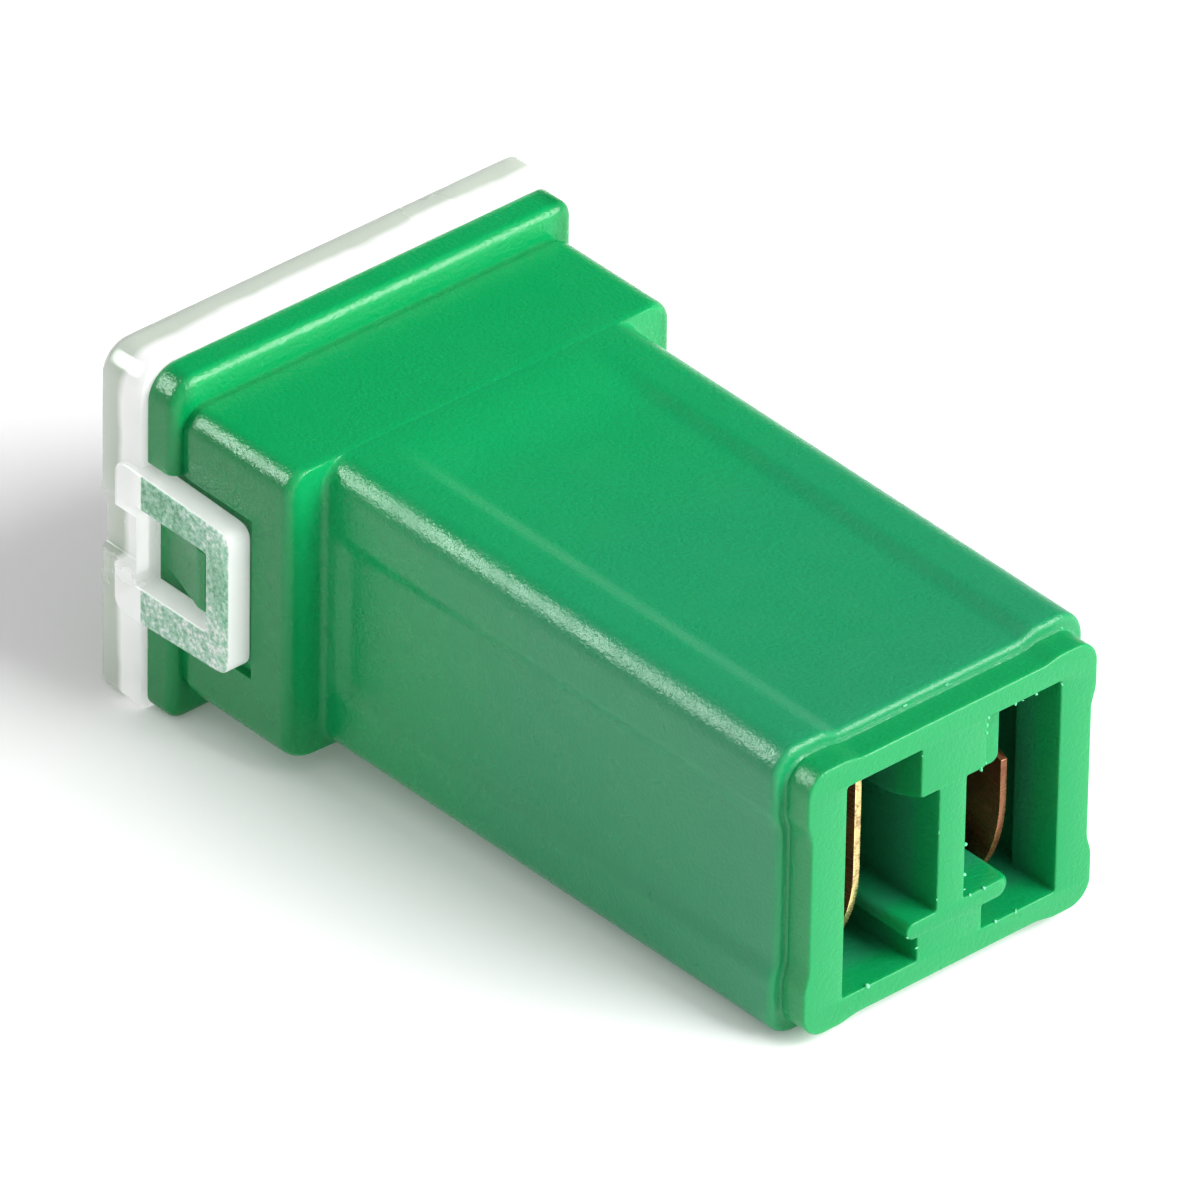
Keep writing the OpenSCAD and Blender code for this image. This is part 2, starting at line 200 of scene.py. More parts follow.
def ramp(node, value, stops):
    """A colour ramp over a value, with its stops given as (position, colour)."""
    made = node("ShaderNodeValToRGB", {"Fac": value})
    elements = made.color_ramp.elements
    elements[0].position, elements[0].color = stops[0]
    elements[1].position, elements[1].color = stops[-1]
    for position, colour in stops[1:-1]:
        elements.new(position).color = colour
    return made.outputs["Color"]


def linear(red, green, blue):
    """A colour from 0 to 255 values as the shader wants it."""
    def one(v):
        v = v / 255
        return v / 12.92 if v <= 0.04045 else ((v + 0.055) / 1.055) ** 2.4
    return (one(red), one(green), one(blue), 1)


# %% [markdown]
# A real surface differs from place to place. So each finish mixes patterns, which are noise of one
# scale, with masks, which are numbers between 0 and 1 that say where on the fuse a thing happens. A
# mask is a distance from the middle or along the fuse, turned into a share between two limits.

# %% Helpers for masks and patterns
def calc(node, operation, a, b=0.0):
    """One step of arithmetic."""
    return node("ShaderNodeMath", {0: a, 1: b}, operation=operation).outputs[0]


def scaled_sum(node, value, factor, added):
    """The value times the factor, plus another value."""
    made = node("ShaderNodeMath", {0: value, 1: factor, 2: added}, operation="MULTIPLY_ADD")
    return made.outputs[0]


def share(node, value, start, end, low=0.0, high=1.0):
    """Low where the value is at its start, high where it is at its end, and even in between."""
    made = node("ShaderNodeMapRange", {
        "Value": value, "From Min": start, "From Max": end, "To Min": low, "To Max": high,
    })
    return made.outputs["Result"]


def blend(node, factor, first, second):
    """The first colour where the factor is 0, the second where it is 1."""
    return node("ShaderNodeMix", {0: factor, 6: first, 7: second}, data_type="RGBA").outputs[2]


def noise(node, place, scale, detail, roughness=0.5):
    """A cloudy pattern in space. Its scale is the number of clouds along one metre."""
    made = node("ShaderNodeTexNoise", {
        "Vector": place, "Scale": scale, "Detail": detail, "Roughness": roughness,
    })
    return made.outputs["Fac"]


def bump(node, height, strength, distance, under=None):
    """A normal that is bent by a pattern, on top of another one where that is given."""
    inputs = {"Height": height, "Strength": strength, "Distance": distance}
    if under:
        inputs["Normal"] = under
    return node("ShaderNodeBump", inputs).outputs["Normal"]


def distances(node):
    """Object coordinates, then the way along the fuse, off its middle and off its axis, in metres."""
    place = node("ShaderNodeTexCoord").outputs["Object"]
    split = node("ShaderNodeSeparateXYZ", {"Vector": place})
    wide = calc(node, "ABSOLUTE", split.outputs["Y"])
    high = calc(node, "ABSOLUTE", calc(node, "SUBTRACT", split.outputs["Z"], AXIS_Z * MM))
    return place, split.outputs["X"], wide, high


def x_at(x):
    """Metres along the frame for millimetres from the cover seat."""
    return (SEAT_X + x) * MM


# %% [markdown]
# ## The green plastic
#
# The housing is a filled polyamide: semi-gloss, a little translucent, with a very fine grain that
# only shows where a light is mirrored. Its green turns greyer along the body, which is painted
# shading. A plain colour with a bump would look like paint, so some of the light is let under the
# skin as well.

# %% Green moulded plastic
def green_plastic(name, thin=False):
    """The housing's plastic. Where it is as thin as flash, its colour is painted paler for light
    shining through.
    """
    material, node, output = new_material(name)
    place, along, wide, high = distances(node)
    cloud = noise(node, place, 180, 3)
    # The cloudy tone is the plastic's own; the fade to a greyer green along the body is painted
    # shading.
    tone_and_painted_fade = share(node, scaled_sum(node, cloud, 0.006, along), -0.008, 0.016)
    body = ramp(node, tone_and_painted_fade, [
        (0.0, linear(2, 148, 80)),
        (0.3, linear(8, 148, 84)),
        (0.55, linear(22, 139, 88)),
        (1.0, linear(30, 132, 89)),
    ])
    mating_end = share(node, along, x_at(24.2), x_at(24.7))
    body = blend(node, mating_end, body, linear(8, 138, 76))

    # Painted shade: the colour is darkened in the depth of the slots and on the sides of the shoulder,
    # where little light reaches.
    in_slot = calc(node, "MULTIPLY", share(node, wide, 5.3 * MM, 5.1 * MM),
                   share(node, high, 4.5 * MM, 4.3 * MM))
    deep = calc(node, "MULTIPLY", share(node, along, x_at(24.6), x_at(21.5)),
                share(node, along, x_at(6), x_at(9)))
    painted_slot_shade = calc(node, "MULTIPLY", calc(node, "MULTIPLY", in_slot, deep), 0.7)
    painted_flank_shade = calc(node, "MULTIPLY", share(node, wide, 6.6 * MM, 7.0 * MM), 0.4)
    shade = calc(node, "MAXIMUM", painted_slot_shade, painted_flank_shade)
    colour = blend(node, shade, body, linear(2, 92, 42))
    # Painted light: flash beads get a paler green that stands in for light shining through them.
    if thin:
        colour = ramp(node, cloud, [(0.3, linear(50, 180, 112)), (0.7, linear(120, 215, 160))])

    # The grain sparkles where a light is mirrored, and the skin is duller towards the mating end.
    grain = noise(node, place, 7500, 2, 0.6)
    waves = noise(node, place, 700, 2)
    rough = share(node, scaled_sum(node, along, 12.0, waves), 0.2, 0.85, 0.2, 0.38)
    fine = bump(node, grain, 0.8, 0.00003)
    soft = bump(node, waves, 0.08, 0.00003, fine)
    shader = node("ShaderNodeBsdfPrincipled", {
        "Base Color": colour,
        "Roughness": rough,
        "Normal": soft,
        "IOR": 1.5,
        "Specular IOR Level": 0.38,
        "Subsurface Weight": 0.25,
        "Subsurface Radius": (0.25, 1.0, 0.45),
        "Subsurface Scale": 0.0009,
    })
    material.node_tree.links.new(shader.outputs["BSDF"], output.inputs["Surface"])
    return material


# %% [markdown]
# ## The clear plastic
#
# The cover is one clear moulding, but only its thin window is really see-through. Its thick rim
# looks milky, and on the rough outside of the latch loops the green behind shows as spots. Pure
# glass would vanish against a white room, so the rim scatters light, is painted grey-green behind
# and white towards the seat with a faint painted glow, and the spots are painted.

# %% Clear and milky plastic
def clear_plastic():
    """Clear window, milky rim with painted shade, painted light and a painted glow, and loops with a
    rough outside that the green shows through.
    """
    material, node, output = new_material("clear_plastic")
    place, along, wide, high = distances(node)

    # Where a point lies: on a loop's outside, in the window, or on the rim before the plate.
    outside = share(node, wide, 7.86 * MM, 7.89 * MM)
    ahead = share(node, along, x_at(0.25), x_at(0.3))
    loop_face = calc(node, "MULTIPLY", outside, ahead)
    window = calc(node, "MULTIPLY", share(node, wide, 6.4 * MM, 6.1 * MM),
                  share(node, high, 4.5 * MM, 4.2 * MM))
    sway = noise(node, place, 350, 3)
    grain = noise(node, place, 6500, 3, 0.65)
    # Painted shade and light: the cover is painted grey-green behind and near white towards the seat.
    painted_rim_light = share(node, scaled_sum(node, sway, 0.6 * MM, along), x_at(-0.75), x_at(-0.5))

    lid_painted_shade_and_light = ramp(node, painted_rim_light, [(0.0, (0.62, 0.68, 0.60, 1)), (1.0, (0.92, 0.94, 0.91, 1))])
    seen = ramp(node, share(node, scaled_sum(node, sway, 0.9, grain), 0.62, 1.25), [
        (0.2, linear(84, 150, 112)),
        (0.42, linear(134, 188, 158)),
        (0.66, linear(180, 216, 196)),
        (0.84, linear(246, 253, 248)),
    ])
    paint = blend(node, window, blend(node, loop_face, lid_painted_shade_and_light, seen), (0.97, 0.99, 0.975, 1))
    haze = share(node, sway, 0.3, 0.7, 0.14, 0.3)
    rough = calc(node, "MULTIPLY", haze, share(node, window, 0.0, 1.0, 1.0, 0.2))
    coarse = share(node, loop_face, 0.0, 1.0, 0.08, 0.9)
    smooth_part = calc(node, "SUBTRACT", 1.0, loop_face)
    cloudy = calc(node, "SUBTRACT", 1.0, window)
    # Painted glow: the front of the rim and the loop walls emit a little light, though they are no
    # lamp.
    glow = calc(node, "MULTIPLY", calc(node, "MULTIPLY", painted_rim_light, smooth_part), cloudy)
    shader = node("ShaderNodeBsdfPrincipled", {
        "Base Color": paint,
        "Roughness": rough,
        "Normal": bump(node, grain, coarse, 0.00007),
        "IOR": 1.49,
        "Transmission Weight": share(node, window, 0.0, 1.0, 0.25, 0.97),
        "Emission Color": glow,
        "Emission Strength": 0.16,
        "Subsurface Weight": cloudy,
        "Subsurface Radius": (1, 1, 1),
        "Subsurface Scale": 0.0015,
    })
    material.node_tree.links.new(shader.outputs["BSDF"], output.inputs["Surface"])
    return material


# %% [markdown]
# ## The metals
#
# Rolled copper alloy has fine lines along its length and dark stains, and is bright only where the
# press has just cut it. The faces of a cut are marked on the mesh later on, and the material reads
# that mark, so one material serves both. Tin is the same with paler colours and a duller skin.

# %% Copper alloy and tin
def sheet_metal(name, dark, light, edge, roughness, tarnish):
    """Rolled sheet with stains between two colours, and its own colour on the freshly cut edges."""
    material, node, output = new_material(name)
    place = node("ShaderNodeTexCoord").outputs["Object"]
    stretched = node("ShaderNodeMapping", {"Vector": place, "Scale": (400, 400, 6000)})
    lines = noise(node, stretched.outputs["Vector"], 1, 3)
    stain = noise(node, place, 500, 4, 0.6)
    burr = noise(node, place, 4500, 3, 0.7)
    faces = ramp(node, stain, [(0.35, dark), (0.65, light)])
    shorn = ramp(node, burr, [(0.36, [v * 0.4 for v in edge[:3]] + [1]), (0.5, edge)])
    cut = node("ShaderNodeAttribute", attribute_name="cut_edge", attribute_type="GEOMETRY")
    torn = bump(node, burr, 0.5, 0.00003)
    shader = node("ShaderNodeBsdfPrincipled", {
        "Base Color": blend(node, cut.outputs["Fac"], faces, shorn),
        "Metallic": share(node, cut.outputs["Fac"], 0.0, 1.0, tarnish, 1.0),
        "Roughness": share(node, lines, 0.3, 0.7, roughness, roughness + 0.15),
        "Normal": bump(node, lines, 0.15, 0.00001, torn),
    })
    material.node_tree.links.new(shader.outputs["BSDF"], output.inputs["Surface"])
    return material


GREEN = green_plastic("green_moulded_plastic")
PAINTED_LIGHT_FLASH_GREEN = green_plastic("flash_green_painted_light", thin=True)
CLEAR = clear_plastic()
COPPER = sheet_metal(
    "copper_alloy_sheet", dark=linear(96, 36, 22), light=linear(140, 68, 42),
    edge=linear(255, 230, 160), roughness=0.18, tarnish=0.6,
)
TIN = sheet_metal(
    "pressed_tin", dark=linear(168, 168, 170), light=linear(216, 216, 218),
    edge=linear(200, 200, 202), roughness=0.35, tarnish=0.95,
)
print("materials:", [m.name for m in (GREEN, PAINTED_LIGHT_FLASH_GREEN, CLEAR, COPPER, TIN)])

# %% [markdown]
# ## The housing, ring by ring
#
# The outside of the housing is one loft. Many rings stand along the fuse, close together where the
# shape changes. Each is a rounded rectangle with the same number of points, so neighbouring rings
# join with plain quads. A rule gives each ring its half width, half thickness and corner radius.
# Another sinks the panels and the latch seats into it, and lets the catches stand out.

# %% Sizes of the outside
SHOULDER_W, BODY_W, THICK = 7.15, 5.8, 4.85
FLANGE_W, FLANGE_T = 7.45, 5.7
FLANGE_L, STEP_X, BODY_END, END_X = 1.15, 5.7, 24.5, 25.5
FLANGE_R, KEY_R, SHOULDER_R, BODY_R, RIM_R = 0.45, 1.0, 0.75, 0.95, 0.78
DRAFT_W, DRAFT_T = 0.07, 0.05
PANEL_DEPTH, PANEL_TOP, PANEL_SIDE, SLOPE = 0.2, 3.25, 2.1, 0.8
SEAT_Y, SEAT_HALF, SEAT_END, SEAT_WALL = 6.93, 2.67, 4.17, 0.02
CATCH_HALF, CATCH_START, CATCH_CREST, CATCH_END = 1.0, 0.4, 2.4, 2.8
CATCH_OUT, CATCH_DROP = 0.66, 0.12

# Distances from the middle of a side where a ring has a point.
SIDE_STEPS = [0, 0.35, 0.7, 0.94, 0.97, 1.03, 1.06, 1.4, 1.8, 2.05, 2.15, 2.25, 2.35, 2.45, 2.55,
              2.62, 2.64, 2.68, 2.72, 2.8, 2.88, 2.95, 3.05, 3.15]
TOP_STEPS = [0, 0.6, 1.2, 1.8, 2.4, 2.9, 3.2, 3.29, 3.38, 3.47, 3.56, 3.65, 3.74, 3.83, 3.92, 4.01,
             4.1, 4.2]
ARC = 14


def ease(v):
    """Smooth step from 0 to 1."""
    v = min(max(v, 0), 1)
    return v * v * (3 - 2 * v)


# %% [markdown]
# A ring is walked once round, side after side. The points of each side stand at fixed distances from
# its middle, close together where a panel or a catch begins, so those features keep crisp borders.

# %% One ring
def ring(x, half_w, half_t, radius, key_radius, panel, seated):
    """Points of one cross-section, starting at the middle of the right side and going up."""
    right_levels = [-v for v in reversed(SIDE_STEPS[1:])] + SIDE_STEPS
    top_levels = list(reversed(TOP_STEPS)) + [-v for v in TOP_STEPS[1:]]
    points = []

    def inset(distance, reach, sunk):
        return PANEL_DEPTH * sunk * (1 - ease((abs(distance) - reach) / SLOPE))

    def side(sign, levels):
        for z in levels:
            y = half_w - inset(z, PANEL_SIDE, panel[1])
            if seated and abs(z) < SEAT_HALF - SEAT_WALL and x < SEAT_END:
                y = min(y, SEAT_Y)
                if abs(z) < CATCH_HALF:
                    climb = (x - CATCH_START) / (CATCH_CREST - CATCH_START)
                    fall = (CATCH_END - x) / CATCH_DROP
                    y = max(y, SEAT_Y + CATCH_OUT * min(max(min(climb, fall), 0), 1))
            points.append((sign * y, z))

    def face(sign, levels):
        for y in levels:
            points.append((y, sign * (half_t - inset(y, PANEL_TOP, panel[0]))))

    def corner(y_sign, z_sign, start, r):
        for k in range(1, ARC):
            angle = math.radians(start + 90 * k / ARC)
            points.append((
                y_sign * (half_w - r) + r * math.cos(angle),
                z_sign * (half_t - r) + r * math.sin(angle),
            ))

    side(1, right_levels)
    points.append((half_w, half_t - radius))
    corner(1, 1, 0, radius)
    points.append((half_w - radius, half_t))
    face(1, top_levels)
    points.append((key_radius - half_w, half_t))
    corner(-1, 1, 90, key_radius)
    points.append((-half_w, half_t - key_radius))
    side(-1, [-z for z in right_levels])
    points.append((-half_w, radius - half_t))
    corner(-1, -1, 180, radius)
    points.append((radius - half_w, -half_t))
    face(-1, [-y for y in top_levels])
    points.append((half_w - radius, -half_t))
    corner(1, -1, 270, radius)
    points.append((half_w, radius - half_t))
    return points


# %% [markdown]
# The stations along the fuse follow the outline of the moulding: back edge, flange with its rounded
# front, shoulder, the step down to the plug body, a slight draft along the body, and the end rim that
# stands a little inside it. A fillet is a quarter circle walked in a few steps.

# %% Sizes along the fuse
BACK_R, FLANGE_FRONT_R, SHOULDER_FRONT_R, BODY_FRONT_R, END_R = 0.08, 0.34, 0.32, 0.2, 0.07
PANEL_X, TOP_RUN_IN, SIDE_RUN_IN = 5.9, 3.2, 0.8
RIM_STEP, RIM_PANEL = 0.38, (0.6, 0.8)


# %% The stations
def fillet_out(x, r, steps):
    """Steps of a convex rounding that ends at x: how far along, and how much smaller."""
    return [(x - r + r * math.sin(a), r * (1 - math.cos(a)))
            for a in (math.pi / 2 * k / steps for k in range(steps + 1))]


def body_size(x):
    """Half width, half thickness and radius of the plug body at x, with its draft."""
    along = (x - STEP_X) / (BODY_END - STEP_X)
    return BODY_W - DRAFT_W * along, THICK - DRAFT_T * along, BODY_R


stations = []


def station(x, w, t, r, key=None, panel=(0, 0)):
    """Adds a ring at x, with how far the panels of its top and of its sides are sunk there."""
    stations.append((x, w, t, r, key or r, panel))


for k in range(4):
    a = math.pi / 2 * k / 3
    shrink = BACK_R * (1 - math.sin(a))
    station(BACK_R * (1 - math.cos(a)), FLANGE_W - shrink, FLANGE_T - shrink, FLANGE_R, KEY_R)
for x in (0.25, 0.4, 0.6, 0.75):
    station(x, FLANGE_W, FLANGE_T, FLANGE_R, KEY_R)
for x, shrink in fillet_out(FLANGE_L, FLANGE_FRONT_R, 7):
    station(x, FLANGE_W - shrink, FLANGE_T - shrink, FLANGE_R, KEY_R)
for x, sunk in ((0.002, 0.06), (0.06, 0.06), (0.14, 0.045), (0.22, 0.02), (0.3, 0)):
    station(FLANGE_L + x, SHOULDER_W - sunk, THICK - sunk, SHOULDER_R)
for x in (1.6, 2.0, 2.2, 2.4, 2.55, 2.68, 2.74, 2.8, 2.86,
          3.2, 3.7, 4.1, 4.16, 4.18, 4.3, 4.8):
    station(x, SHOULDER_W, THICK, SHOULDER_R)
for x, shrink in fillet_out(STEP_X, SHOULDER_FRONT_R, 7):
    station(x, SHOULDER_W - shrink, THICK - shrink * 0.12, SHOULDER_R)
for past, grow in ((0.005, 0.22), (0.03, 0.12), (0.09, 0.05), (0.22, 0)):
    w, t, r = body_size(STEP_X + past)
    station(STEP_X + past, w + grow, t, r)
for x in (6.1, 6.25, 6.4, 6.55, 6.7, 6.85, 7.2, 7.6, 8, 8.4, 8.8, 9.2,
          11, 14, 17, 20, 22.5, 23.6):
    w, t, r = body_size(x)
    sunk = ease((x - PANEL_X) / TOP_RUN_IN), ease((x - PANEL_X - 0.05) / SIDE_RUN_IN)
    station(x, w, t, r, panel=sunk)
w, t, r = body_size(BODY_END)
for x, shrink in fillet_out(BODY_END, BODY_FRONT_R, 6):
    station(x, w - shrink, t - shrink, r, panel=(1, 1))
RIM_W, RIM_T = w - RIM_STEP, t - RIM_STEP
for past, grow in ((0.005, 0.1), (0.03, 0.04), (0.09, 0)):
    station(BODY_END + past, RIM_W + grow, RIM_T + grow, RIM_R, panel=RIM_PANEL)
for x in (24.8, 25.1, 25.3):
    station(x, RIM_W, RIM_T, RIM_R, panel=RIM_PANEL)
for x, shrink in fillet_out(END_X, END_R, 4):
    station(x, RIM_W - shrink, RIM_T - shrink, RIM_R - 0.02, panel=RIM_PANEL)
print("rings:", len(stations))

# %% [markdown]
# ## The slots of the mating end
#
# Each slot is a tunnel that runs back to the chamber. Its outline is also a list of points that keeps
# its number along the way: the outer wall steps outwards behind the mouth, the thick upper end of the
# web grows deeper, and in the far slot a keying rib starts half a millimetre behind the face.

# %% Slot outline
CAVITY, STEM, BLOCK, BLOCK_DROP = 3.55, 0.5, 1.2, 1.62
ARCH_RISE, ARCH_L = 0.6, 2.0
SHELF_TOP, SHELF_T, SHELF_R = 2.2, 0.55, 0.275
SHELF_NEAR, SHELF_FAR, SHELF_TIP = 1.6, 2.3, 0.35
MOUTH_OUT, CAVITY_OUT, MOUTH_L, FLOOR_X, MOUTH_R = 3.97, 4.4, 1.8, 4.8, 0.05
RIB_BACK, RIB_REACH, RIB_UNDER = 0.5, 2.1, 1.5


def arc_points(cx, cz, r, start, end, steps):
    """Points of a circle's arc between two angles in degrees."""
    angles = [math.radians(start + (end - start) * k / steps) for k in range(steps + 1)]
    return [(cx + r * math.cos(angle), cz + r * math.sin(angle)) for angle in angles]


def slot_outline(x, far):
    """Outline of one slot at x as (distance from the middle, height), from the lower outer corner."""
    behind = END_X - x
    outer = MOUTH_OUT if behind < MOUTH_L else CAVITY_OUT
    ribbed = far and behind > RIB_BACK + 0.005
    sink = ARCH_RISE * math.sin(min(behind / ARCH_L, 1) * math.pi / 2)
    under = CAVITY - BLOCK_DROP - sink
    reach = RIB_REACH if ribbed else BLOCK
    if ribbed:
        under = min(under, RIB_UNDER)
    shelf = SHELF_FAR if far else SHELF_NEAR
    if far and behind < SHELF_TIP:
        shelf -= SHELF_TIP - math.sqrt(max(SHELF_TIP ** 2 - (SHELF_TIP - behind) ** 2, 0))
    corner = 0.25 if ribbed else 0.12
    low_edge = -SHELF_TOP - SHELF_T
    points = arc_points(outer - 0.1, -CAVITY + 0.1, 0.1, 0, -90, 4)
    points += arc_points(BLOCK + 0.08, -CAVITY + 0.08, 0.08, -90, -180, 3)
    points += arc_points(BLOCK + 0.04, low_edge - 0.04, 0.04, 180, 90, 2)
    points += arc_points(shelf - SHELF_R, low_edge + SHELF_R, SHELF_R, -90, 90, 12)
    points += arc_points(STEM + 0.1, -SHELF_TOP + 0.1, 0.1, -90, -180, 3)
    points += arc_points(STEM + 0.06, under - 0.06, 0.06, 180, 90, 3)
    points += arc_points(reach - corner, under + corner, corner, -90, 0, 5)
    points += arc_points(reach + 0.06, CAVITY - 0.06, 0.06, 180, 90, 3)
    points += arc_points(outer - 0.1, CAVITY - 0.1, 0.1, 90, 0, 4)
    return points


def grown(points, amount):
    """The same outline with every point moved out of the slot by that amount."""
    moved = []
    for k, p in enumerate(points):
        a, b = Vector(points[k - 1]), Vector(points[(k + 1) % len(points)])
        here = Vector(p)
        n = Vector((0, 0))
        for edge in (here - a, b - here):
            if edge.length > 1e-6:
                n += Vector((-edge.y, edge.x)).normalized()
        if n.length > 1e-6:
            here = here + n.normalized() * amount
        moved.append((here.x, here.y))
    return moved


print("points round a slot:", len(slot_outline(END_X, True)))


# %% [markdown]
# Now the rings are joined. Carving the slots out of a solid block with a boolean would leave thin
# triangles along every rounding, so the skin of each slot is its own row of rings, and only the flat
# faces between the openings are filled with triangles. All of it is one closed mesh.

# %% Loft the housing
def slot_ring(x, far):
    """The outline of a slot as points of the frame, opened a little by the rounding of its mouth."""
    sign = 1 if far else -1
    edge = END_X - x
    open_by = MOUTH_R * (1 - math.sqrt(max(1 - (1 - min(edge / MOUTH_R, 1)) ** 2, 0)))
    return [at(x, sign * u, z) for u, z in grown(slot_outline(x, far), open_by)]


def bridge(faces, first, second, count):
    """Quads between two rings of points that start at those numbers."""
    for k in range(count):
        n = (k + 1) % count
        faces.append((first + k, first + n, second + n, second + k))


def plate(faces, loops, points):
    """Triangles that fill the outline of the first loop round the others."""
    flat = [i for loop in loops for i in loop]
    shape = [[Vector((points[i].y, points[i].z, 0)) for i in loop] for loop in loops]
    for a, b, c in tessellate_polygon(shape):
        faces.append((flat[a], flat[b], flat[c]))


DRIFT = 0.04
points, faces = [], []
outer_loops = []
for x, w, t, r, key, panel in stations:
    start = len(points)
    drift = DRIFT * max(0, (x - STEP_X) / (END_X - STEP_X))
    outline = ring(x, w, t, r, key, panel, seated=x < STEP_X - 0.5)
    points += [at(x, y - drift, z + drift / 2) for y, z in outline]
    outer_loops.append(range(start, len(points)))
for a, b in zip(outer_loops, outer_loops[1:]):
    bridge(faces, a.start, b.start, len(a))

tunnels = []
depths = [0, 0.008, 0.022, 0.05, 0.1, 0.16, 0.22, 0.3, 0.4, 0.5, 0.51, 0.7, 0.9, 1.2, 1.5,
          1.79, 1.81, 2.2, 3, 4, 6, 9, 13, 17, END_X - FLOOR_X]
for far in (True, False):
    loops = []
    for depth in depths:
        start = len(points)
        points += slot_ring(END_X - depth, far)
        loops.append(range(start, len(points)))
    for a, b in zip(loops, loops[1:]):
        bridge(faces, a.start, b.start, len(a))
    tunnels.append(loops)
plate(faces, [outer_loops[-1], tunnels[0][0], tunnels[1][0]], points)

CHAMBER_Y, CHAMBER_Z, CHAMBER_R = 5.51, 3.55, 0.5
quarters = ((1, 1, 0), (-1, 1, 90), (-1, -1, 180), (1, -1, 270))
chamber = []
for x in (0, FLOOR_X):
    start = len(points)
    for y_sign, z_sign, turn in quarters:
        arc = arc_points(y_sign * CHAMBER_Y, z_sign * CHAMBER_Z, CHAMBER_R, turn, turn + 90, 8)
        points += [at(x, y, z) for y, z in arc]
    chamber.append(range(start, len(points)))
bridge(faces, chamber[0].start, chamber[1].start, len(chamber[0]))
plate(faces, [outer_loops[0], chamber[0]], points)
plate(faces, [chamber[1], tunnels[0][-1], tunnels[1][-1]], points)
housing = mesh_object("housing_moulding", points, faces, GREEN)
smooth(housing, 32)
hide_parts("housing")
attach(housing, "root")
print("housing faces:", len(housing.data.polygons))

# %% [markdown]
# ## Moulding flash
#
# A real moulding is never quite clean: where the halves of the mould and its cores meet, tiny beads
# and slivers of plastic stay behind. They follow the edges of the slot mouths and the end of the
# body, which makes them work for Geometry Nodes too: a tree that walks the edges, picks places with
# a fixed seed and sets a small turned and stretched bead on each.


# %% Geometry Nodes helpers
def node_tree(name, inputs):
    """A geometry node tree with those named inputs, and a function that adds nodes."""
    tree = bpy.data.node_groups.new(name, "GeometryNodeTree")
    tree.is_modifier = True
    tree.interface.new_socket("Geometry", in_out="INPUT", socket_type="NodeSocketGeometry")
    for key, kind, value in inputs:
        socket = tree.interface.new_socket(key, in_out="INPUT", socket_type=kind)
        if value is not None:
            socket.default_value = value
    tree.interface.new_socket("Geometry", in_out="OUTPUT", socket_type="NodeSocketGeometry")
    source = tree.nodes.new("NodeGroupInput")
    target = tree.nodes.new("NodeGroupOutput")
    return tree, source.outputs, node_maker(tree), target.inputs[0]


def grow_from(tree, name, settings, start=None):
    """Runs the tree on a new object and returns the result as a plain mesh object."""
    piece = bpy.data.objects.new(name, start or bpy.data.meshes.new(name))
    bpy.context.scene.collection.objects.link(piece)
    modifier = piece.modifiers.new(tree.name, "NODES")
    modifier.node_group = tree
    for item in tree.interface.items_tree:
        if item.in_out == "INPUT" and item.name in settings:
            modifier[item.identifier] = settings[item.name]
    return settle(piece)


# %% The tree of the flash
def flash_tree():
    """Beads of random size and turn, on places picked along chains of edges."""
    tree, given, node, result = node_tree("moulding_flash", [
        ("Spacing", "NodeSocketFloat", 0.00025),
        ("Share Kept", "NodeSocketFloat", 0.15),
        ("Smallest", "NodeSocketFloat", 0.00001),
        ("Largest", "NodeSocketFloat", 0.00009),
        ("Seed", "NodeSocketInt", 4),
        ("Material", "NodeSocketMaterial", None),
    ])
    curve = node("GeometryNodeMeshToCurve", {"Mesh": given["Geometry"]})
    places = node("GeometryNodeResampleCurve", {
        "Curve": curve.outputs[0], "Length": given["Spacing"],
    }, mode="LENGTH")
    kept = node("FunctionNodeRandomValue", {
        6: given["Share Kept"], 8: given["Seed"],
    }, data_type="BOOLEAN")
    turn = node("FunctionNodeRandomValue", {
        0: (0, 0, 0), 1: (6.28, 6.28, 6.28), 8: given["Seed"],
    }, data_type="FLOAT_VECTOR")
    least = node("ShaderNodeCombineXYZ", {k: given["Smallest"] for k in "XYZ"})
    most = node("ShaderNodeCombineXYZ", {k: given["Largest"] for k in "XYZ"})
    size = node("FunctionNodeRandomValue", {
        0: least.outputs[0], 1: most.outputs[0], 8: given["Seed"],
    }, data_type="FLOAT_VECTOR")
    bead = node("GeometryNodeMeshIcoSphere", {"Radius": 1.0, "Subdivisions": 2})
    beads = node("GeometryNodeInstanceOnPoints", {
        "Points": places.outputs[0], "Selection": kept.outputs[3], "Instance": bead.outputs[0],
        "Rotation": turn.outputs[0], "Scale": size.outputs[0],
    })
    real = node("GeometryNodeRealizeInstances", {"Geometry": beads.outputs[0]})
    painted = node("GeometryNodeSetMaterial", {
        "Geometry": real.outputs[0], "Material": given["Material"],
    })
    tree.links.new(painted.outputs[0], result)
    return tree


def edge_lines(name, lines):
    """A mesh of edges only, one chain for each list of points."""
    mesh = bpy.data.meshes.new(name)
    points, edges = [], []
    for line in lines:
        edges += [(len(points) + k, len(points) + k + 1) for k in range(len(line) - 1)]
        points += [tuple(p) for p in line]
    mesh.from_pydata(points, edges, [])
    return mesh


BEAD_FACES = 80
lines = [
    [at(END_X - 0.02, sign * y, z) for y, z in slot_outline(END_X, sign > 0)] for sign in (1, -1)
]
lines.append([at(BODY_END + 0.02, y, RIM_T + 0.02) for y in (-4.8, 4.8)])
edges = edge_lines("flash_edges", lines)
flash = grow_from(flash_tree(), "moulding_flash", {"Material": PAINTED_LIGHT_FLASH_GREEN}, edges)
smooth(flash, 180)
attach(flash, "root")
print("beads of flash:", len(flash.data.polygons) // BEAD_FACES)

